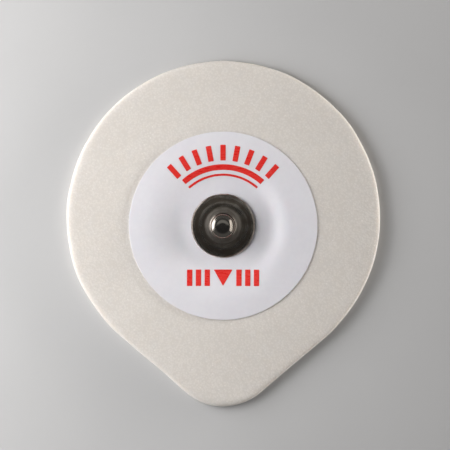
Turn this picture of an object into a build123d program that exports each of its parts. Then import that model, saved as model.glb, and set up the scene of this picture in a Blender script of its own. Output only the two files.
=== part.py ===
from build123d import *
import os

# A disposable ECG electrode, lying on its skin side as it would on a table.
# A teardrop of soft foam has a round window in it, filled with a disc of conductive gel. A round
# printed label closes the window from above. A moulded sensor sits in the gel, and its post goes up
# through the label into a drawn metal stud, which the lead's clip snaps onto. Stud and sensor pinch
# the label between them and pull it down into a shallow dish.
#
# Millimetres. The origin is on the stud's axis, in the plane of the skin side. +Z points away from
# the skin, and the pull tab points along -Y.

# Foam pad: closed-cell foam, die-cut to a round with a blunt tab to pull it off by
pad_radius = 25.0
tab_reach = 30.1  # from the centre of the round to the end of the tab
tab_tip_radius = 9.0
stud_offset = 1.2  # from the centre of the round to the stud's axis, towards the tab
foam_thickness = 1.6
foam_edge_round = 1.0  # the cutting die draws the foam's skin down over the edge
window_radius = 9.0

# Skin adhesive: the tacky coat under the foam, cut with it
adhesive_thickness = 0.08

# Label: white film, glued to the foam round the window and dished where the stud pulls it down
label_radius = 15.0
label_thickness = 0.18
dish_floor_margin = 1.1  # flat film outside the stud's lip
dish_slope_width = 5.2

# Sensor: moulded plastic with a silver chloride coat, a flat disc with a post
sensor_disc_radius = 4.7
sensor_disc_thickness = 0.5
sensor_edge_round = 0.2
post_clearance = 0.06
label_hole_clearance = 0.1

# Gel disc: poured into the window, where it sets round the sensor
gel_under_sensor = 0.3
gel_clearance = 0.1

# Snap stud: drawn from one disc of thin metal, with a lip, a brim, a low hub, a neck and a head
stud_sheet = 0.25
inside_bend = 0.12  # the bends' radius on their inner side
flange_radius = 5.1
lip_round = 0.32
lip_straight = 0.18  # what is left of the lip below its round
brim_rise = 0.06
step_width = 0.5
step_rise = 0.05
step_bend = 0.8
shelf_radius = 3.6
hub_radius = 3.0
hub_rise = 0.34
hub_bend = 0.6
collar_round = 0.9  # where the hub sweeps up into the neck
neck_straight = 0.02  # at least, and more where the hub is steep
head_overhang = 0.35  # how far the head stands out past the neck, for the clip to catch
overhang_height = 0.3
head_radius = 1.95
head_side = 0.75
head_round = 0.6
crown_rise = 0.56
crown_bend = 1.8
crown_flat_radius = 0.95

# Print: raised ink in one colour, a scale of marks over two lines, and a pointer towards the tab
ink_thickness = 0.04
print_radius = 12.9  # the outer ends of the scale's marks
mark_width = 0.85
scale_mark_length = 2.5
scale_mark_count = 9
scale_mark_angle = 10.5  # from one mark to the next
print_gap = 0.6
wide_line = 0.9
thin_line = 0.35
pointer_offset = 8.3  # from the stud's axis to the middle of the pointer
pointer_width = 3.0
pointer_length = 2.6
bar_count = 3  # on each side of the pointer
bar_pitch = 1.4

# How far a cut runs past what it cuts
overrun = 1.0

# Heights above the skin side
label_level = adhesive_thickness + foam_thickness
dish_level = gel_under_sensor + sensor_disc_thickness
dish_depth = label_level - dish_level
stud_level = dish_level + label_thickness

# Radii
dish_floor_radius = flange_radius + dish_floor_margin
dish_rim_radius = dish_floor_radius + dish_slope_width
neck_radius = head_radius - head_overhang
post_inset = stud_sheet + post_clearance
post_radius = neck_radius - post_inset


def turned(section):
    """The solid that a section, drawn as radius and height, sweeps round the stud's axis."""
    return revolve(Plane.XZ * section, Axis.Z)


def pad_blank(bottom, thickness):
    """A layer of the pad before the window is cut. The cutting die's line is the round and the tab's
    round end, joined by the tangents that they share."""
    round_part = Pos(0, stud_offset) * Circle(pad_radius)
    tab_end = Pos(0, stud_offset - tab_reach + tab_tip_radius) * Circle(tab_tip_radius)
    outline = make_hull(round_part.edges() + tab_end.edges())
    return Pos(0, 0, bottom) * extrude(outline, thickness)


def window_cut():
    """The window through the foam and the adhesive, for the gel."""
    return extrude(Circle(window_radius), label_level + overrun)


def dish_line(level):
    """The dished film's line in section, from the axis out to the label's edge, with the flat rim at a
    given level. Two equal arcs make the slope, tangent to the floor, to each other and to the rim."""
    floor_level = level - dish_depth
    slope_foot = (dish_floor_radius, floor_level)
    slope_middle = ((dish_floor_radius + dish_rim_radius) / 2, (floor_level + level) / 2)
    slope_top = (dish_rim_radius, level)
    return [
        Line((0, floor_level), slope_foot),
        TangentArc(slope_foot, slope_middle, tangent=(1, 0)),
        TangentArc(slope_top, slope_middle, tangent=(-1, 0)),
        Line(slope_top, (label_radius, level)),
    ]


def dished_sheet(level, thickness):
    """A round sheet of even height that follows the dish, with the underside of its rim at a level."""
    axis = Line((0, level - dish_depth), (0, level - dish_depth + thickness))
    edge = Line((label_radius, level), (label_radius, level + thickness))
    return turned(make_face([axis, edge] + dish_line(level) + dish_line(level + thickness)))


def above_label():
    """All that lies over the label's underside, as a cut for what is under the label."""
    return dished_sheet(label_level, dish_depth + overrun)


def foam_pad():
    """The foam, rounded along its top edge, and pressed down under the label round the window."""
    blank = pad_blank(adhesive_thickness, foam_thickness)
    top_edge = blank.faces().sort_by(Axis.Z)[-1].edges()
    return fillet(top_edge, foam_edge_round) - window_cut() - above_label()


def skin_adhesive():
    """The adhesive: a coat over the foam's whole underside."""
    return pad_blank(0, adhesive_thickness) - window_cut()


def top_label():
    """The label, with a hole for the sensor's post."""
    hole = extrude(Circle(post_radius + label_hole_clearance), label_level + overrun)
    return dished_sheet(label_level, label_thickness) - hole


def stud_bends():
    """The corners of the stud's outer line in section, as radius and height over the label, from the
    middle of the crown down to the lip, each with the radius of its bend."""
    outer_bend = inside_bend + stud_sheet
    brim_height = lip_straight + lip_round
    step_foot = brim_height + brim_rise
    shelf_height = step_foot + step_rise
    neck_foot = shelf_height + hub_rise
    neck_top = neck_foot + collar_round + neck_straight
    head_base = neck_top + overhang_height
    head_edge = head_base + head_side
    crown_height = head_edge + crown_rise
    return [
        ((0, crown_height), 0),
        ((crown_flat_radius, crown_height), crown_bend),
        ((head_radius, head_edge), head_round),
        ((head_radius, head_base), outer_bend),
        ((neck_radius, neck_top), inside_bend),
        ((neck_radius, neck_foot), collar_round),
        ((hub_radius, shelf_height), hub_bend),
        ((shelf_radius, shelf_height), step_bend),
        ((shelf_radius + step_width, step_foot), step_bend),
        ((flange_radius, brim_height), lip_round),
        ((flange_radius, 0), 0),
    ]


def set_in(bends, depth):
    """The same bends on a line that lies a depth further in. A corner moves along the line that halves
    its angle. A bend round the inner side gets tighter by the depth, and one round the outer side wider."""
    corners = [Vector(*corner) for corner, radius in bends]
    runs = [(end - start).normalized() for start, end in zip(corners, corners[1:])]
    inward = [run.cross(Vector(0, 0, 1)) for run in runs]
    shifts = [(a + b) / (1 + a.dot(b)) for a, b in zip(inward, inward[1:])]
    tighter = [-depth if a.cross(b).Z < 0 else depth for a, b in zip(runs, runs[1:])]
    moved = [corner + shift * depth for corner, shift in zip(corners, [inward[0], *shifts, inward[-1]])]
    return [((p.X, p.Y), radius + change) for p, (old, radius), change in zip(moved, bends, [0, *tighter, 0])]


def bent_line(bends):
    """The line through a list of bends, from its first corner to its last."""
    corners = [corner for corner, radius in bends]
    return FilletPolyline(*corners, radius=[radius for corner, radius in bends[1:-1]])


def snap_stud():
    """The stud: the sheet between its outer line and the same line set in by the sheet's thickness."""
    outer = bent_line(stud_bends())
    inner = bent_line(set_in(stud_bends(), stud_sheet))
    ends = [Line(outer @ 0, inner @ 0), Line(outer @ 1, inner @ 1)]
    return Pos(0, 0, stud_level) * turned(make_face([outer, inner] + ends))


def sensor_eyelet():
    """The sensor: a disc under the label, and a post that was pressed up into the stud until it filled
    the head. The post is the stud's line from the crown to the neck, run straight on down through the
    label and set in by the sheet and a clearance."""
    crown_to_neck = stud_bends()[:5]
    under_label = (neck_radius, -label_thickness)
    side = bent_line(set_in(crown_to_neck + [(under_label, 0)], post_inset))
    base_and_axis = Polyline(side @ 1, (0, -label_thickness), side @ 0)
    post = turned(make_face([side, base_and_axis]))
    disc_level = -label_thickness - sensor_disc_thickness
    disc = Pos(0, 0, disc_level) * extrude(Circle(sensor_disc_radius), sensor_disc_thickness)
    disc = fillet(disc.edges().group_by(Axis.Z)[0], sensor_edge_round)
    return Pos(0, 0, stud_level) * (post + disc)


def gel_disc():
    """The gel: it fills the window from the skin up to the label, and has the sensor's shape in it."""
    fill = extrude(Circle(window_radius - gel_clearance), label_level)
    return fill - above_label() - sensor_eyelet()


def curved_line(outer_radius, width, start, span):
    """A printed line of even width, bent round the stud's axis."""
    outer = CenterArc((0, 0), outer_radius, start, span)
    inner = CenterArc((0, 0), outer_radius - width, start, span)
    return make_face([outer, inner, Line(outer @ 0, inner @ 0), Line(outer @ 1, inner @ 1)])


def scale_artwork():
    """The marks of the scale along the label's upper edge, and the two lines under them."""
    span = (scale_mark_count - 1) * scale_mark_angle
    first = 90 - span / 2
    mark = Pos(print_radius - scale_mark_length / 2) * Rectangle(scale_mark_length, mark_width)
    marks = [Rot(0, 0, first + i * scale_mark_angle) * mark for i in range(scale_mark_count)]
    wide_radius = print_radius - scale_mark_length - print_gap
    thin_radius = wide_radius - wide_line - print_gap
    wide = curved_line(wide_radius, wide_line, first, span)
    thin = curved_line(thin_radius, thin_line, first, span)
    return marks + [wide, thin]


def pointer_artwork():
    """The pointer towards the tab, and the bars on both sides of it."""
    tip = (0, -pointer_offset - pointer_length / 2)
    right = (pointer_width / 2, -pointer_offset + pointer_length / 2)
    left = (-pointer_width / 2, -pointer_offset + pointer_length / 2)
    pointer = make_face(Polyline(tip, right, left, close=True))
    bar = Rectangle(mark_width, pointer_length)
    first = pointer_width / 2 + print_gap + mark_width / 2
    places = [side * (first + i * bar_pitch) for side in (-1, 1) for i in range(bar_count)]
    return [pointer] + [Pos(x, -pointer_offset) * bar for x in places]


def label_print():
    """The ink: a thin coat that follows the label's face, wherever the artwork is."""
    label_face = label_level + label_thickness
    coat = dished_sheet(label_face, ink_thickness)
    artwork = scale_artwork() + pointer_artwork()
    return Compound([coat & extrude(shape, label_face + overrun) for shape in artwork])


nodes = {
    "foam_pad": foam_pad(),
    "skin_adhesive": skin_adhesive(),
    "gel_disc": gel_disc(),
    "sensor_eyelet": sensor_eyelet(),
    "top_label": top_label(),
    "label_print": label_print(),
    "snap_stud": snap_stud(),
}

os.makedirs("parts", exist_ok=True)
for name, solid in nodes.items():
    export_step(solid, f"parts/{name}.step")
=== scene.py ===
import bpy
import numpy as np
from mathutils import Matrix, Vector


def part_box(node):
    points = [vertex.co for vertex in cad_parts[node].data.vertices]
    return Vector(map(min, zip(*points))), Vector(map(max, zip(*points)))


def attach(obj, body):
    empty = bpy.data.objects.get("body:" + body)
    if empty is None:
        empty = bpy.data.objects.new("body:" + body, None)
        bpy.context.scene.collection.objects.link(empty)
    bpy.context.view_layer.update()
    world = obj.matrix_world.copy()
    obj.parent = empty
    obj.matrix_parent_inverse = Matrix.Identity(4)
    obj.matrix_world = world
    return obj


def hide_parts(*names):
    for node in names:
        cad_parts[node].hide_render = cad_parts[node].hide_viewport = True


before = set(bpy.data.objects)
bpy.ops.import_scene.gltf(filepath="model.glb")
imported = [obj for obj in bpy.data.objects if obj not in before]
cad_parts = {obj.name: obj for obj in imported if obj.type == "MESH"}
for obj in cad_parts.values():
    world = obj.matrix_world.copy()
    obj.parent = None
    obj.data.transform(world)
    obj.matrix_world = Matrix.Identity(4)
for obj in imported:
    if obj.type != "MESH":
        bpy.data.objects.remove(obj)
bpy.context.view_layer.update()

# Skin adhesive
# The tacky acrylic coat on the pad's skin side. It is rolled onto the foam as a clear film and die-cut
# with it, so it has the pad's teardrop outline and its round window.
mm = 0.001
pad_radius = 25.0 * mm
tab_radius = 9.0 * mm
round_centre = 1.2 * mm  # on the Y axis, as is the next
tab_centre = -19.9 * mm
window_radius = 9.0 * mm
pad_columns = 1200
cut_burr = 0.02 * mm
adhesive_colour = (0.80, 0.77, 0.69, 1)
adhesive_thin_colour = (0.72, 0.68, 0.60, 1)


def pad_outline(inset):
    """The pad's edge set in by a distance, as points a constant step apart. Each point is a centre plus a
    radius along a direction. The round keeps one centre while the direction turns, a flank keeps its
    direction while centre and radius run evenly over to the tab's, and the tab's end turns again."""
    distance = round_centre - tab_centre
    tilt = np.arcsin((pad_radius - tab_radius) / distance)
    flank = distance * np.cos(tilt)
    arcs = [pad_radius * (np.pi + 2 * tilt), flank, tab_radius * (np.pi - 2 * tilt), flank]
    breaks = np.concatenate([[0], np.cumsum(arcs)])
    along = np.linspace(0, breaks[-1], pad_columns, endpoint=False)
    turns = [-tilt, np.pi + tilt, np.pi + tilt, 2 * np.pi - tilt, 2 * np.pi - tilt]
    direction = np.interp(along, breaks, turns)
    centre = np.interp(along, breaks, [round_centre, round_centre, tab_centre, tab_centre, round_centre])
    radius = np.interp(along, breaks, [pad_radius, pad_radius, tab_radius, tab_radius, pad_radius]) - inset
    return np.stack([radius * np.cos(direction), centre + radius * np.sin(direction)], axis=-1)


def pad_ring(share, inset):
    """Points between the window's circle, at share 0, and the set-in edge, at share 1, on rays from the
    axis."""
    edge = pad_outline(inset)
    rays = edge / np.linalg.norm(edge, axis=-1, keepdims=True)
    return (1 - share) * window_radius * rays + share * edge


def closed_piece(name, rings, poles=()):
    """A closed mesh from rings of points, as an array of rings by columns by XYZ. Each ring joins the next.
    The last joins the first, or with two poles, the end rings close on them. Faces point outwards."""
    count, columns = rings.shape[:2]
    here = np.arange(count * columns).reshape(count, columns)
    points = rings.reshape(-1, 3)
    strips = here[: count - 1] if len(poles) else here
    onward = here[1:] if len(poles) else np.roll(here, -1, axis=0)
    quads = np.stack([strips, np.roll(strips, -1, 1), np.roll(onward, -1, 1), onward], -1).reshape(-1, 4)
    faces = quads.tolist()
    corners = points[quads]
    crossed = np.cross(corners[:, 2] - corners[:, 0], corners[:, 3] - corners[:, 1])
    volume = (corners.mean(axis=1) * crossed).sum()
    if len(poles):
        first, last = count * columns, count * columns + 1
        points = np.concatenate([points, np.array(poles)])
        faces += [[first, b, a] for a, b in zip(here[0], np.roll(here[0], -1))]
        faces += [[last, a, b] for a, b in zip(here[-1], np.roll(here[-1], -1))]
    mesh = bpy.data.meshes.new(name)
    mesh.from_pydata(points.tolist(), [], faces)
    mesh.shade_smooth()
    if volume < 0:
        mesh.flip_normals()
    piece = bpy.data.objects.new(name, mesh)
    bpy.context.scene.collection.objects.link(piece)
    return piece


class Wire:
    """An output of a node in a material. Arithmetic on it adds Math nodes, and node() adds any other."""

    def __init__(self, tree, output=None):
        self.tree = tree
        self.output = output

    def node(self, kind, settings=None, sockets=None, output=0):
        """A node of a kind, with its settings made first, then a value or a wire given to each socket."""
        made = self.tree.nodes.new(kind)
        for key, setting in (settings or {}).items():
            setattr(made, key, setting)
        for key, given in (sockets or {}).items():
            if isinstance(given, Wire):
                self.tree.links.new(given.output, made.inputs[key])
            else:
                made.inputs[key].default_value = given
        return Wire(self.tree, made.outputs[output])

    def math(self, operation, *values):
        """A Math node of an operation on some values or wires."""
        return self.node("ShaderNodeMath", {"operation": operation}, dict(enumerate(values)))

    def __add__(self, other):
        return self.math("ADD", self, other)

    def __sub__(self, other):
        return self.math("SUBTRACT", self, other)

    def __rsub__(self, other):
        return self.math("SUBTRACT", other, self)

    def __mul__(self, other):
        return self.math("MULTIPLY", self, other)

    def __gt__(self, other):
        return self.math("GREATER_THAN", self, other)

    __radd__ = __add__
    __rmul__ = __mul__

    def between(self, low, high, start=0.0, end=1.0):
        """Eases from start to end as this wire goes from low to high."""
        limits = {0: self, 1: low, 2: high, 3: start, 4: end}
        return self.node("ShaderNodeMapRange", {"interpolation_type": "SMOOTHSTEP"}, limits)

    def axis(self, name):
        """The X, Y or Z of this wire."""
        return self.node("ShaderNodeSeparateXYZ", None, {"Vector": self}, output=name)

    def tint(self, at_none, at_full):
        """Blends two colours by this wire. The node's names repeat, so its colour sockets go by number."""
        colours = {0: self, 6: at_none, 7: at_full}
        return self.node("ShaderNodeMix", {"data_type": "RGBA"}, colours, output=2)

    def relief(self, depth):
        """A normal from this wire as a height, where a change of one is a depth in metres."""
        return self.node("ShaderNodeBump", None, {"Distance": depth, "Height": self})

    def noise(self, size, detail=2.0, roughness=0.5):
        """Soft random grain with features of about a size in metres, at the place that this wire gives."""
        sockets = {"Vector": self, "Scale": 1 / size, "Detail": detail, "Roughness": roughness}
        return self.node("ShaderNodeTexNoise", None, sockets)

    def stretched(self, along_x, along_y, along_z):
        """This place with each axis divided, so that a pattern on it runs longer along that axis."""
        scale = (1 / along_x, 1 / along_y, 1 / along_z)
        return self.node("ShaderNodeMapping", None, {"Vector": self, "Scale": scale})


def new_finish(name, even):
    """A material, its shader and the place wire. What is even all over goes onto the shader's sockets."""
    material = bpy.data.materials.new(name)
    material.use_nodes = True
    shader = material.node_tree.nodes["Principled BSDF"]
    for socket, value in even.items():
        shader.inputs[socket].default_value = value
    place = Wire(material.node_tree).node("ShaderNodeTexCoord", output="Object")
    return material, shader, place


def vary(shader, socket, wire):
    """Feeds a socket of the shader from a wire."""
    wire.tree.links.new(wire.output, shader.inputs[socket])


def dress(piece, material, node):
    """The finished piece gets its material, rides on the electrode and stands for its node."""
    piece.data.materials.append(material)
    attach(piece, "root")
    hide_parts(node)


skin_low, skin_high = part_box("skin_adhesive")

# Each ring of the coat: its share of the way out from the window, its inset and its share of the height
coat_steps = np.array(
    [(0, 0, 0.25), (0, 0, 0.75), (0.01, 0, 1), (0.25, 0, 1), (0.5, 0, 1), (0.75, 0, 1), (1, 0, 1)]
    + [(1, -cut_burr, 0.7), (1, -cut_burr, 0.3)]
    + [(1, 0, 0), (0.75, 0, 0), (0.5, 0, 0), (0.25, 0, 0), (0.01, 0, 0)]
)
share, inset, rise = coat_steps[:, 0, None, None], coat_steps[:, 1, None], coat_steps[:, 2, None]
coat_plan = pad_ring(share, inset)
coat_height = skin_low.z + rise * (skin_high.z - skin_low.z) + 0 * coat_plan[..., 0]
adhesive = closed_piece("adhesive_coat", np.concatenate([coat_plan, coat_height[..., None]], axis=-1))

material, shader, place = new_finish(
    "clear tacky acrylic", {"Roughness": 0.22, "Coat Weight": 0.6, "Coat Roughness": 0.12, "IOR": 1.47}
)
rolled = place.stretched(1, 14, 1).noise(0.5 * mm, detail=3)
pooled = place.noise(1.4 * mm, detail=2).between(0.35, 0.65)
vary(shader, "Base Color", (0.6 * pooled + 0.4 * rolled).tint(adhesive_thin_colour, adhesive_colour))
vary(shader, "Normal", (rolled + 0.8 * pooled).relief(0.012 * mm))
dress(adhesive, material, "skin_adhesive")

# Foam pad
# Soft white closed-cell foam, 1.6 mm thick, die-cut to a teardrop with a blunt pull tab. The cutting die
# draws its skin down over the edge in a soft shoulder, and below that leaves a rough wall of cut cells.
pad_low, pad_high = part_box("foam_pad")
label_low, label_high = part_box("top_label")
label_radius = 15.0 * mm
label_film = 0.18 * mm
dish_depth = label_high.z - label_low.z - label_film
dish_foot = 7.1 * mm
foot_bend_share = 0.30  # how much of the slope this bend takes, past its corner
dish_head = 11.2 * mm
head_bend_share = 0.45

# Angle and spread of each crease in degrees, how much it narrows the slope, and how far it moves it in
dish_creases = ((203, 20, 0.3 * mm, 0.3 * mm), (162, 20, 0.8 * mm, -0.1 * mm), (-5, 60, 1.7 * mm, 0))
droop_start = 12.2 * mm
rim_droop = 0.05 * mm
press_gap = 0.06 * mm  # hidden, between the foam and the label
press_fade = (1.2 * mm, 0.3 * mm)  # the gap closes between these distances from the label's edge
press_reach = 1.8 * mm  # past the label's edge
shoulder_width = 1.8 * mm
shoulder_drop = 0.95 * mm
shoulder_fullness = 3.6  # an ellipse has 2, and more keeps the top flat further out
ring_counts = {"pressed": 16, "free": 22, "shoulder": 24, "wall": 6, "under": 4, "window": 4}
ring_crowding = 1.3  # above 1, the shoulder's rings lie closer where it starts
skin_swell = 0.022 * mm
skin_swell_length = 8 * mm
skin_grain_length = 1.2 * mm
edge_wander = 0.05 * mm
edge_wander_length = 9 * mm
edge_wander_full = 0.2 * mm  # from the edge up to here, fading out over the shoulder
rough_depth = 0.7 * mm  # no rough cells further in than this
rough_height = 0.3 * mm  # the wall is roughest up to here, and smoother above
cell_size = 0.33 * mm
cell_pit = 0.035 * mm
foam_colour = (0.70, 0.665, 0.63, 1)
foam_shade_colour = (0.635, 0.60, 0.565, 1)
# The pale colour of the painted glints: small highlights painted into the foam's colour
foam_painted_glint_colour = (0.90, 0.87, 0.84, 1)


def dish(x, y):
    """How far the label's film sinks below its highest ring. A straight slope leads from the head to the
    foot, with an arc tangent to it at each corner. Round each crease the slope is narrower and moved in or
    out, by a share that falls off as a bell curve of the angle. Outside the dish the rim droops a little,
    with the square of the distance."""
    radius = np.hypot(x, y)
    angle = np.degrees(np.arctan2(y, x))
    foot, head = dish_foot + 0 * radius, dish_head + 0 * radius
    for at, spread, squeeze, move in dish_creases:
        share = np.exp(-((((angle - at + 180) % 360 - 180) / spread) ** 2))
        foot, head = foot + (squeeze / 2 - move) * share, head - (squeeze / 2 + move) * share
    slope = np.arctan2(dish_depth, head - foot)
    head_bend, foot_bend = head_bend_share * (head - foot), foot_bend_share * (head - foot)
    head_arc, foot_arc = head_bend / np.tan(slope / 2), foot_bend / np.tan(slope / 2)
    head_end, foot_end = head_arc * np.sin(slope), foot_arc * np.sin(slope)
    from_head = np.clip(head + head_bend - radius, 0, head_end)
    from_foot = np.clip(radius - foot + foot_bend, 0, foot_end)
    below_head = head_arc - np.sqrt(head_arc**2 - from_head**2)
    above_foot = foot_arc - np.sqrt(foot_arc**2 - from_foot**2)
    sunk = np.clip((head - radius) * np.tan(slope), 0, dish_depth)
    sunk = np.where(from_head < head_end, below_head, sunk)
    sunk = np.where(from_foot < foot_end, dish_depth - above_foot, sunk)
    droop = np.clip((radius - droop_start) / (label_radius - droop_start), 0, 1.2)
    return sunk + rim_droop * droop**2


def ripples(points, length, seed, waves=24):
    """Smooth random relief with a spread of one: the sum of plane waves of about one length, each with its
    own direction and phase from a seeded draw, over the root of half their number."""
    draw = np.random.default_rng(seed)
    heading = draw.normal(size=(waves, 3))
    heading /= np.linalg.norm(heading, axis=1, keepdims=True)
    pitch = 2 * np.pi / (length * draw.uniform(0.7, 1.5, waves))
    phase = draw.uniform(0, 2 * np.pi, waves)
    return np.cos(points @ (heading * pitch[:, None]).T + phase).sum(axis=-1) / np.sqrt(waves / 2)


def eased(values, low, high):
    """Goes from 0 at low to 1 at high as three squares less two cubes of the share of the way."""
    t = np.clip((values - low) / (high - low), 0, 1)
    return t * t * (3 - 2 * t)


def steps(count):
    """A column of even shares, above 0 and up to 1."""
    return np.linspace(0, 1, count + 1)[1:, None]


def foam_rings():
    """The foam's surface in section: out over the top from the window, down the shoulder as a quarter of a
    full ellipse, down the cut wall, back under the pad and up the window's wall. Each ring is a share of
    the way out, an inset from the edge and a height. The shoulder's share of its width is the sine of an
    angle to the power 2 / fullness, and its share of its drop is one less the cosine to that power."""
    edge_distance = np.linalg.norm(pad_outline(shoulder_width), axis=-1)
    pressed_width = label_radius + press_reach - window_radius
    pressed_distance = np.linspace(0, pressed_width, ring_counts["pressed"])[:, None]
    pressed_share = pressed_distance / (edge_distance - window_radius)
    free_share = pressed_share[-1] + steps(ring_counts["free"]) * (1 - pressed_share[-1])
    quarter = steps(ring_counts["shoulder"]) ** ring_crowding * np.pi / 2
    power = 2 / shoulder_fullness
    out_share, down_share = np.sin(quarter) ** power, 1 - np.clip(np.cos(quarter), 0, 1) ** power
    shoulder_foot, window_top = pad_high.z - shoulder_drop, pad_high.z - dish_depth / 2
    wall_share, window_share = steps(ring_counts["wall"]), steps(ring_counts["window"])[:-1]
    stretches = [
        (pressed_share, shoulder_width, pad_high.z),
        (free_share, shoulder_width, pad_high.z),
        (1, shoulder_width * (1 - out_share), pad_high.z - shoulder_drop * down_share),
        (1, 0, shoulder_foot - wall_share * (shoulder_foot - pad_low.z)),
        (1 - steps(ring_counts["under"]), 0, pad_low.z),
        (0, 0, pad_low.z + window_share * (window_top - pad_low.z)),
    ]
    top_count = sum(len(stretch) for stretch in (pressed_share, free_share, quarter))
    even = [np.broadcast_arrays(*stretch, np.zeros((1, pad_columns)))[:3] for stretch in stretches]
    share, inset, height = (np.concatenate(parts) for parts in zip(*even))
    plan = pad_ring(share[..., None], inset)
    return plan, height, np.arange(len(share))[:, None] < top_count


plan, height, on_top = foam_rings()
radius = np.linalg.norm(plan, axis=-1)
rings = np.concatenate([plan, height[..., None]], axis=-1)
outward = pad_outline(0) - pad_outline(mm)
outward /= np.linalg.norm(outward, axis=-1, keepdims=True)
clearance = np.linalg.norm(plan - pad_outline(0), axis=-1)
near_edge = 1 - eased(clearance, edge_wander_full, shoulder_width)
wander = edge_wander * ripples(rings * (1, 1, 0), edge_wander_length, seed=3) * near_edge
cut = 1 - eased(height, pad_low.z + rough_height, pad_high.z - 0.6 * shoulder_drop)
pits = cell_pit * cut * (clearance < rough_depth) * (ripples(rings, cell_size, seed=5, waves=40) - 1)
rings[..., :2] += (wander + pits)[..., None] * outward
free = eased(radius, label_radius, label_radius + press_reach)
swell = ripples(rings, skin_swell_length, seed=7) + 0.2 * ripples(rings, skin_grain_length, seed=8)
under = 1 - eased(radius, label_radius - press_fade[0], label_radius - press_fade[1])
pressed = -dish(rings[..., 0], rings[..., 1]) - under * press_gap
rings[..., 2] += on_top * (free * skin_swell * swell + (1 - free) * pressed)
foam = closed_piece("pad_foam", rings)

material, shader, place = new_finish(
    "closed cell foam",
    {
        "Roughness": 0.62,
        "IOR": 1.4,
        "Subsurface Weight": 0.5,
        "Subsurface Radius": (1.0, 0.9, 0.8),
        "Subsurface Scale": 1.0 * mm,
        "Sheen Weight": 0.12,
    },
)
cells = {"Vector": place, "Scale": 1 / cell_size}
cell_middle = place.node("ShaderNodeTexVoronoi", {"feature": "F1"}, cells, output="Distance")
cell_shade = place.node("ShaderNodeTexVoronoi", {"feature": "F1"}, cells, output="Color")
cell_draw = cell_shade.node("ShaderNodeSeparateColor", None, {"Color": cell_shade})
grain = place.noise(0.16 * mm, detail=3)
mottle = place.noise(2.2 * mm, detail=3)
haze = place.noise(9 * mm, detail=1)
# Painted glints: in a few random cells, a small pale disc is painted into the base colour as a highlight on
# the cell's face
painted_glint = (cell_draw > 0.97) * (1 - cell_middle.between(0.15, 0.42))
tone = 0.45 * cell_middle.between(0.1, 0.8) + 0.35 * grain + 0.3 * mottle + 0.2 * haze
skin = tone.between(0.3, 0.95).tint(foam_colour, foam_shade_colour)
vary(shader, "Base Color", (0.3 * painted_glint).tint(skin, foam_painted_glint_colour))
vary(shader, "Normal", (0.8 * grain - cell_middle + 0.5 * mottle).relief(0.03 * mm))
dress(foam, material, "foam_pad")

# Gel disc
# Conductive gel, poured into the window and set there as a soft clear disc round the sensor. It has
# shrunk a little from the foam, so its wet face curves up where it meets the wall.
gel_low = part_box("gel_disc")[0]
sensor_low, sensor_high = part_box("sensor_eyelet")
gel_radius = 8.9 * mm
gel_meniscus = 0.16 * mm
gel_ripple = 0.02 * mm
gel_ripple_length = 5 * mm
gel_skin = 0.3 * mm  # the face's climb and ripples fade out over this depth
gel_bubble_pitch = 1.1 * mm
gel_grip = 0.01 * mm  # the gel wets the sensor and the label, so it reaches just into them
sensor_radius = 4.7 * mm
sensor_thickness = 0.5 * mm
lathe_columns = 360
lathe_step = 0.3 * mm
gel_colour = (0.74, 0.83, 0.88, 1)


def section_line(corners, bends, spacing, closed=False):
    """Points along a line through corners, where each corner is rounded by an arc of its own radius. The
    arc starts the radius times the tangent of half the turn before the corner. Straight runs are divided
    evenly into steps no longer than the spacing, and arcs into steps of about six degrees."""
    corners = np.array(corners, float)
    middle = range(len(corners)) if closed else range(1, len(corners) - 1)
    stretches = [] if closed else [corners[:1]]
    for i in middle:
        before, here, after = corners[i - 1], corners[i], corners[(i + 1) % len(corners)]
        arriving = (here - before) / np.linalg.norm(here - before)
        leaving = (after - here) / np.linalg.norm(after - here)
        turn = np.arctan2(arriving[0] * leaving[1] - arriving[1] * leaving[0], arriving @ leaving)
        side = np.sign(turn) * np.array([-arriving[1], arriving[0]])
        start = here - arriving * bends[i] * np.tan(abs(turn) / 2)
        swing = np.linspace(0, abs(turn), max(2, int(np.ceil(abs(turn) / np.radians(6))) + 1))[:, None]
        stretches.append(start + bends[i] * ((1 - np.cos(swing)) * side + np.sin(swing) * arriving))
    if not closed:
        stretches.append(corners[-1:])
    ends = stretches + stretches[:1] if closed else stretches
    points = []
    for stretch, following in zip(ends, ends[1:]):
        gap = np.linalg.norm(following[0] - stretch[-1])
        steps = max(1, int(np.ceil(gap / spacing)))
        run = stretch[-1] + np.linspace(0, 1, steps + 1)[1:-1, None] * (following[0] - stretch[-1])
        points += [stretch, run]
    if not closed:
        points.append(stretches[-1])
    return np.concatenate(points)


def turned_rings(section, columns=lathe_columns):
    """A section, drawn as radius and height, swept round the stud's axis."""
    angle = np.linspace(0, 2 * np.pi, columns, endpoint=False)
    radius, height = section[:, :1], section[:, 1:]
    return np.stack([radius * np.cos(angle), radius * np.sin(angle), height + 0 * angle], axis=-1)


def turned_piece(name, section, relief=None):
    """A turned piece whose section starts and ends on the axis. A relief may shift each point outwards."""
    rings = turned_rings(section[1:-1])
    if relief is not None:
        rings = relief(rings)
    ends = [(0, 0, section[0, 1]), (0, 0, section[-1, 1])]
    return closed_piece(name, rings, poles=ends)


pocket_radius = sensor_radius - gel_grip
pocket_floor = sensor_low.z + gel_grip - gel_low.z
pocket_top = pocket_floor + sensor_thickness
gel_line = section_line(
    [
        (0, 0),
        (gel_radius, 0),
        (gel_radius, pocket_top),
        (pocket_radius, pocket_top),
        (pocket_radius, pocket_floor),
        (0, pocket_floor),
    ],
    [0, 0.05 * mm, 0.02 * mm, 0.02 * mm, 0.1 * mm, 0],
    lathe_step,
)


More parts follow.
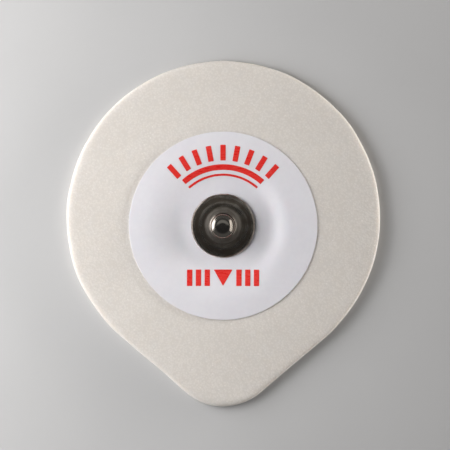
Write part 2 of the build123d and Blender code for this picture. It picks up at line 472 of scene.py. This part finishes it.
def gel_face(rings):
    """The gel is stretched up to the dished label. Its open face has slow ripples, and climbs towards the
    wall with the eighth power of the radius."""
    radius = np.hypot(rings[..., 0], rings[..., 1])
    risen = dish_depth - dish(rings[..., 0], rings[..., 1])
    rings[..., 2] = gel_low.z + rings[..., 2] * (1 + risen / pocket_top)
    on_face = 1 - eased(rings[..., 2], gel_low.z, gel_low.z + gel_skin)
    climb = gel_meniscus * (radius / gel_radius) ** 8
    swell = np.maximum(0, 1 + ripples(rings, gel_ripple_length, seed=11))
    rings[..., 2] += on_face * (climb + gel_ripple * swell)
    return rings


gel = turned_piece("gel_fill", gel_line, gel_face)
material, shader, place = new_finish(
    "set conductive gel",
    {"IOR": 1.36, "Transmission Weight": 0.7, "Base Color": gel_colour, "Coat Weight": 0.3},
)
ripple = place.noise(2.5 * mm, detail=2)
bubble_cells = {"Vector": place, "Scale": 1 / gel_bubble_pitch}
bubbles = place.node("ShaderNodeTexVoronoi", {"feature": "F1"}, bubble_cells, output="Distance")
vary(shader, "Normal", (ripple - 0.5 * (1 - bubbles.between(0.02, 0.12))).relief(0.05 * mm))
vary(shader, "Roughness", place.noise(1.2 * mm).between(0.3, 0.7, 0.05, 0.16))
dress(gel, material, "gel_disc")

# Sensor eyelet
# A moulded plastic disc with a post, coated with silver chloride, which is a dull grey. The post is pushed
# up through the label and pressed until it fills the stud's head, so only the gel shows the disc.
post_radius = 1.29 * mm
post_head_radius = 1.64 * mm
post_neck_top = 3.1 * mm
post_flare = 0.5 * mm
post_crown_radius = 0.8 * mm
post_crown_drop = 0.5 * mm
sensor_colour = (0.30, 0.29, 0.275, 1)
sensor_worn_colour = (0.44, 0.43, 0.42, 1)
disc_top = sensor_low.z + sensor_thickness
head_foot = post_neck_top + post_flare
sensor_line = section_line(
    [
        (0, sensor_high.z),
        (post_crown_radius, sensor_high.z),
        (post_head_radius, sensor_high.z - post_crown_drop),
        (post_head_radius, head_foot),
        (post_radius, post_neck_top),
        (post_radius, disc_top),
        (sensor_radius, disc_top),
        (sensor_radius, sensor_low.z),
        (0, sensor_low.z),
    ],
    [0, 0.5 * mm, 0.3 * mm, 0.1 * mm, 0.1 * mm, 0.02 * mm, 0.02 * mm, 0.2 * mm, 0],
    lathe_step,
)
sensor = turned_piece("sensor_post", sensor_line)
material, shader, place = new_finish("silver chloride coat", {"IOR": 1.6})
coat = place.noise(0.5 * mm, detail=5, roughness=0.6)
vary(shader, "Base Color", coat.between(0.3, 0.75).tint(sensor_colour, sensor_worn_colour))
vary(shader, "Roughness", coat.between(0.3, 0.7, 0.45, 0.7))
vary(shader, "Normal", place.noise(0.12 * mm, detail=2).relief(0.01 * mm))
dress(sensor, material, "sensor_eyelet")

# Top label
# A round of white plastic film, glued to the foam round the window. The stud pulls its middle down into a
# shallow dish, and the film has creased a little where the dish is steepest.
label_face = label_high.z
label_hole = 1.39 * mm
film_round = 0.05 * mm
film_step = 0.16 * mm
film_columns = 720
film_wave = 0.012 * mm
film_wave_length = 4 * mm
film_held = 5.5 * mm  # the stud keeps the film even up to here
film_free = 7 * mm
label_colour = (0.705, 0.695, 0.735, 1)
label_shade_colour = (0.68, 0.67, 0.715, 1)

film_section = section_line(
    [(label_hole, 0), (label_radius, 0), (label_radius, label_film), (label_hole, label_film)],
    [film_round] * 4,
    film_step,
    closed=True,
)


def film_face(x, y):
    """The height of the film's upper face: its highest ring, less the dish, plus slow waves that fade out
    towards the stud."""
    waves = film_wave * ripples(np.stack([x, y, 0 * x], axis=-1), film_wave_length, seed=21)
    return label_face - dish(x, y) + eased(np.hypot(x, y), film_held, film_free) * waves


rings = turned_rings(film_section, columns=film_columns)
rings[..., 2] += film_face(rings[..., 0], rings[..., 1]) - label_film
label = closed_piece("label_film", rings)

material, shader, place = new_finish(
    "satin white film", {"IOR": 1.46, "Subsurface Weight": 0.04, "Subsurface Scale": 0.1 * mm}
)
cloud = place.noise(6 * mm, detail=3)
peel = place.noise(0.7 * mm, detail=3)
scuff = place.stretched(1, 3, 1).noise(0.5 * mm, detail=3)
shade = (0.6 * cloud + 0.4 * peel).between(0.35, 0.65)
vary(shader, "Base Color", shade.tint(label_colour, label_shade_colour))
vary(shader, "Roughness", (0.3 * scuff + 0.7 * cloud).between(0.1, 0.9, 0.31, 0.36))
vary(shader, "Normal", (peel + 0.15 * scuff).relief(0.005 * mm))
dress(label, material, "top_label")

# Print
# One coat of red ink on the film, thick enough to feel. A scale of short marks stands over two curved
# lines, and below the stud a pointer towards the pull tab has three bars on each side.
ink_height = 0.04 * mm
ink_root = 0.012 * mm
ink_corner = 0.07 * mm
ink_step = 0.16 * mm
ink_colour = (0.69, 0.026, 0.021, 1)
ink_thin_colour = (0.76, 0.07, 0.055, 1)
mark_width = 0.85 * mm
mark_outer_radius = 12.9 * mm
mark_length = 2.5 * mm
mark_count = 9
mark_pitch = np.radians(10.5)
line_rows = ((9.8 * mm, 0.9 * mm), (8.3 * mm, 0.35 * mm))  # outer radius, width
pointer_middle = -8.3 * mm
pointer_width = 3.0 * mm
pointer_length = 2.6 * mm
bar_start = 2.525 * mm
bar_pitch = 1.4 * mm
bar_count = 3

# Each ring of a coat: its share of the way out from the mark's middle, and its share of the ink's height,
# where -1 is the root. The last lies in the middle itself.
ink_steps = np.array(
    [(0.4, -1), (0.8, -1), (1, -1), (1, 0.6), (0.985, 0.93), (0.95, 1)]
    + [(0.75, 1), (0.5, 1), (0.25, 1), (0, 1)]
)


def oblong(length, width):
    """The corners of an oblong about the origin, its length along X."""
    x, y = length / 2, width / 2
    return [(-x, -y), (x, -y), (x, y), (-x, y)]


def ink_rings(corners, placed):
    """A coat of ink over a shape: its outline, drawn in towards its middle by shares, and laid by the
    placing function onto the film. The coat is sunk a hair into the film, and rounded at its upper edge."""
    outline = section_line(corners, [ink_corner] * len(corners), ink_step, closed=True)
    share, rise = ink_steps[:, 0, None, None], ink_steps[:, 1, None]
    middle = np.array(corners).mean(axis=0)
    flat = middle + share * (outline - middle)
    x, y = placed(flat[..., 0], flat[..., 1])
    lift = np.where(rise < 0, -ink_root, rise * ink_height)
    points = np.stack([x, y, film_face(x, y) + lift], axis=-1)
    pole_top = points[-1, 0]
    pole_root = pole_top - (0, 0, ink_height + ink_root)
    return points[:-1], (pole_root, pole_top)


def turned_by(angle, radius):
    """Places a shape at a radius and turns it round the stud's axis."""
    def placed(x, y):
        out = radius + x
        return out * np.cos(angle) - y * np.sin(angle), out * np.sin(angle) + y * np.cos(angle)
    return placed


def bent_round(radius):
    """Bends a straight shape round the stud's axis, over the top: its length becomes arc length."""
    def placed(x, y):
        angle = np.pi / 2 - x / radius
        return (radius + y) * np.cos(angle), (radius + y) * np.sin(angle)
    return placed


def moved_to(across, along):
    """Moves a shape."""
    return lambda x, y: (x + across, y + along)


half_scale = (mark_count - 1) / 2
patches = []
for i in range(mark_count):
    angle = np.pi / 2 + (i - half_scale) * mark_pitch
    patches.append((oblong(mark_length, mark_width), turned_by(angle, mark_outer_radius - mark_length / 2)))
for outer, width in line_rows:
    middle_radius = outer - width / 2
    length = 2 * half_scale * mark_pitch * middle_radius
    patches.append((oblong(length, width), bent_round(middle_radius)))
half_width, half_length = pointer_width / 2, pointer_length / 2
pointer = [(0, -half_length), (half_width, half_length), (-half_width, half_length)]
patches.append((pointer, moved_to(0, pointer_middle)))
for side in (-1, 1):
    for i in range(bar_count):
        bar_place = moved_to(side * (bar_start + i * bar_pitch), pointer_middle)
        patches.append((oblong(mark_width, pointer_length), bar_place))

coats = []
for corners, placed in patches:
    rings, poles = ink_rings(corners, placed)
    coats.append(closed_piece("ink_print", rings, poles))
with bpy.context.temp_override(active_object=coats[0], selected_editable_objects=coats):
    bpy.ops.object.join()
ink = coats[0]

material, shader, place = new_finish("red ink", {"IOR": 1.5, "Coat Weight": 0.15})
streak = place.stretched(5, 1, 1).noise(0.25 * mm, detail=3)
speck = place.noise(0.12 * mm, detail=2)
thin = (0.7 * streak + 0.5 * speck).between(0.6, 0.85)
vary(shader, "Base Color", thin.tint(ink_colour, ink_thin_colour))
vary(shader, "Roughness", streak.between(0.3, 0.7, 0.26, 0.42))
vary(shader, "Normal", (speck + 0.5 * streak).relief(0.004 * mm))
dress(ink, material, "label_print")

# Snap stud
# One disc of thin brass, drawn in several strokes to a brim, a low hub, a neck and a hollow snap head,
# then nickel plated. The strokes leave fine rings on it, and the brim isn't quite even.
stud_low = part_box("snap_stud")[0]
sheet = 0.25 * mm
sheet_step = 0.08 * mm
crown_height = 3.48 * mm
crown_flat = 0.95 * mm
head_radius = 1.95 * mm
head_shoulder = 2.92 * mm
head_underside = 2.17 * mm
neck_radius = 1.6 * mm
neck_top = 1.87 * mm
neck_foot = 0.95 * mm
hub_height = 0.61 * mm
hub_inner_radius = 3.0 * mm
hub_outer_radius = 3.6 * mm
brim_inner_radius = 4.1 * mm
brim_inner_height = 0.56 * mm
lip_radius = 5.1 * mm
lip_height = 0.5 * mm
brim_wave = 0.006 * mm
brim_wave_length = 2.4 * mm
brim_wave_start = 2.2 * mm
brim_wave_full = 3.4 * mm
streak_length = 1.0 * mm
stud_colour = (0.63, 0.58, 0.53, 1)
# The dark colour for the tarnish patches and for the painted shade round the head's edge
stud_tarnish_and_shade_colour = (0.29, 0.235, 0.195, 1)

# The radius and height of each corner in section, from the crown down to the lip, and the bend it takes
stud_corners = [
    (0, crown_height),
    (crown_flat, crown_height),
    (head_radius, head_shoulder),
    (head_radius, head_underside),
    (neck_radius, neck_top),
    (neck_radius, neck_foot),
    (hub_inner_radius, hub_height),
    (hub_outer_radius, hub_height),
    (brim_inner_radius, brim_inner_height),
    (lip_radius, lip_height),
    (lip_radius, 0),
]
stud_bends = np.array([0, 1.8, 0.6, 0.37, 0.12, 0.9, 0.6, 0.8, 0.8, 0.32, 0]) * mm


def sheet_section(corners, bends, thickness, spacing):
    """The outer line of a drawn sheet, then back along the same line set in by the sheet's thickness, which
    each point takes square to the line."""
    outer = section_line(corners, bends, spacing)
    heading = np.gradient(outer, axis=0)
    heading /= np.linalg.norm(heading, axis=1, keepdims=True)
    heading[0], heading[-1] = (1, 0), (0, -1)
    inner = outer + thickness * np.stack([heading[:, 1], -heading[:, 0]], axis=-1)
    return np.concatenate([outer, inner[::-1]])


def brim_relief(rings):
    """Outside the neck the metal's height wanders by a few thousandths of a millimetre."""
    out = eased(np.hypot(rings[..., 0], rings[..., 1]), brim_wave_start, brim_wave_full)
    rings[..., 2] += brim_wave * out * ripples(rings * (1, 1, 0), brim_wave_length, seed=31)
    return rings


section = sheet_section(stud_corners, stud_bends, sheet, sheet_step) + (0, stud_low.z)
stud = turned_piece("stud_metal", section, brim_relief)
material, shader, place = new_finish("nickel plate", {"Metallic": 1.0, "IOR": 1.5})
level = place.axis("Z")
flat = place.node("ShaderNodeVectorMath", {"operation": "MULTIPLY"}, {0: place, 1: (1, 1, 0)})
radial = flat.node("ShaderNodeVectorMath", {"operation": "LENGTH"}, {0: flat}, output="Value")
heading = flat.node("ShaderNodeVectorMath", {"operation": "NORMALIZE"}, {0: flat})
along, across = streak_length * heading.axis("X"), streak_length * heading.axis("Y")
round_place = place.node("ShaderNodeCombineXYZ", None, {"X": radial, "Y": level})
streak_sockets = {"X": 4 * (radial + level), "Y": along, "Z": across}
streak_place = place.node("ShaderNodeCombineXYZ", None, streak_sockets)
rings_fine = round_place.noise(0.09 * mm, detail=4, roughness=0.6)
rings_broad = round_place.noise(0.5 * mm, detail=2)
streak = streak_place.noise(0.4 * mm, detail=4, roughness=0.6)
patch = place.noise(1.6 * mm, detail=3)
outer = radial.between(1.65 * mm, 2.1 * mm, 0, 0.6) + radial.between(2.6 * mm, 3.4 * mm, 0, 0.4)
# Painted shade: the base colour is darkened in a ring over the head's rounded edge and just under it,
# standing in for the darker reflection and the shade there
head_edge_painted_shade = radial.between(1.62 * mm, 1.80 * mm) - radial.between(1.98 * mm, 2.05 * mm)
tarnish = (0.4 * patch + 0.4 * rings_broad + 0.5 * streak).between(0.52, 0.70) * outer
# Tarnish patches and the painted shade ring together darken the metal's colour
tarnish_and_painted_shade = (tarnish + head_edge_painted_shade).between(0, 1.3)
vary(shader, "Base Color", tarnish_and_painted_shade.tint(stud_colour, stud_tarnish_and_shade_colour))
brushed = radial.between(1.9 * mm, 2.2 * mm, 0.12, 0.38) - radial.between(2.7 * mm, 3.2 * mm, 0, 0.17)
worn_lip = radial.between(4.6 * mm, 5.1 * mm, 0, 0.16)
vary(shader, "Roughness", brushed + worn_lip + 0.10 * tarnish + 0.05 * patch)
grooves = (rings_fine + 0.6 * rings_broad + 0.3 * patch + streak) * outer.between(0, 1, 0.35, 1)
vary(shader, "Normal", grooves.relief(0.004 * mm))
dress(stud, material, "snap_stud")

# Floor, lamps and camera
# A plain pale table. Two oval lamps show as reflections only, and four soft ones light what they face
# without being reflected, mostly from the left and from low on the right. The room is palest above its
# far side, pale at its walls and dark overhead, where the camera hangs.
floor_half = 1.5
floor_colour = (0.50, 0.50, 0.505, 1)
floor_shade_colour = (0.485, 0.485, 0.49, 1)
wall_light = (0.08, 0.08, 0.078, 1)
ceiling_light = (0.022, 0.022, 0.022, 1)
far_light = (0.19, 0.19, 0.18, 1)
floor_points = [(-floor_half, -floor_half, 0), (floor_half, -floor_half, 0)]
floor_points += [(floor_half, floor_half, 0), (-floor_half, floor_half, 0)]
mesh = bpy.data.meshes.new("floor")
mesh.from_pydata(floor_points, [], [(0, 1, 2, 3)])
floor = bpy.data.objects.new("floor", mesh)
bpy.context.scene.collection.objects.link(floor)
material, shader, place = new_finish("pale table", {"Roughness": 0.7, "Specular IOR Level": 0.2})
tint_shift = place.noise(30 * mm, detail=2).between(0.3, 0.7)
vary(shader, "Base Color", tint_shift.tint(floor_colour, floor_shade_colour))
floor.data.materials.append(material)


def aimed(location, target, upward):
    """A placing matrix for what looks along its own -Z, from a location at a target, one side upwards."""
    back = (Vector(location) - Vector(target)).normalized()
    right = Vector(upward).cross(back).normalized()
    turn = Matrix((right, back.cross(right), back)).transposed()
    return Matrix.Translation(location) @ turn.to_4x4()


def soft_lamp(name, zenith, azimuth, distance, size, power, colour, reflected=False):
    """An oval lamp at an angle from straight up and an angle round the table, aimed at the stud. It either
    shows as a reflection only, or lights what it faces without being reflected."""
    tilt, turn = np.radians(zenith), np.radians(azimuth)
    away = Vector((np.sin(tilt) * np.cos(turn), np.sin(tilt) * np.sin(turn), np.cos(tilt))) * distance
    data = bpy.data.lights.new(name, "AREA")
    data.shape = "ELLIPSE"
    data.size, data.size_y = size
    data.energy = power
    data.color = colour
    lamp = bpy.data.objects.new(name, data)
    lamp.matrix_world = aimed(away, (0, 0, 0), (0, 0, 1))
    lamp.visible_camera = False
    lamp.visible_glossy = reflected
    lamp.visible_diffuse = not reflected
    bpy.context.scene.collection.objects.link(lamp)


soft_lamp("left_glow", 67, 170, 0.12, (0.17, 0.056), 0.057, (1.0, 0.985, 0.97), reflected=True)
soft_lamp("right_glow", 51, 3, 0.22, (0.27, 0.042), 0.034, (1.0, 0.94, 0.86), reflected=True)
soft_lamp("left_lamp", 66, 170, 0.20, (0.28, 0.11), 0.50, (1.0, 0.985, 0.97))
soft_lamp("high_lamp", 43, 172, 0.135, (0.09, 0.09), 0.105, (1.0, 0.99, 0.98))
soft_lamp("right_lamp", 84, 13, 0.26, (0.26, 0.035), 0.86, (1.0, 0.97, 0.93))
soft_lamp("front_lamp", 55, 270, 0.28, (0.28, 0.16), 0.07, (1.0, 1.0, 1.0))

world = bpy.data.worlds.new("room")
world.use_nodes = True
background = world.node_tree.nodes["Background"]
ray = Wire(world.node_tree).node("ShaderNodeTexCoord", output="Generated")
back_share, up_share = ray.axis("Y"), ray.axis("Z")
room = up_share.between(0.55, 0.80).tint(wall_light, ceiling_light)
far_side = back_share.between(0.02, 0.15) * up_share.between(0.75, 0.90)
vary(background, "Color", far_side.tint(room, far_light))
bpy.context.scene.world = world

camera_distance = 0.448
camera_lens = 225.0
camera_target = Vector((0.31 * mm, 0.12 * mm, 1.5 * mm))
camera_lean = (np.tan(np.radians(1.5)), np.tan(np.radians(1.8)), 1)  # towards +X and +Y as it rises
camera_data = bpy.data.cameras.new("camera")
camera_data.lens = camera_lens
camera_data.clip_start = 10 * mm
camera = bpy.data.objects.new("camera", camera_data)
eye = camera_target + Vector(camera_lean).normalized() * camera_distance
camera.matrix_world = aimed(eye, camera_target, (0, 1, 0))
bpy.context.scene.collection.objects.link(camera)
bpy.context.scene.camera = camera
bpy.context.scene.view_settings.view_transform = "Standard"
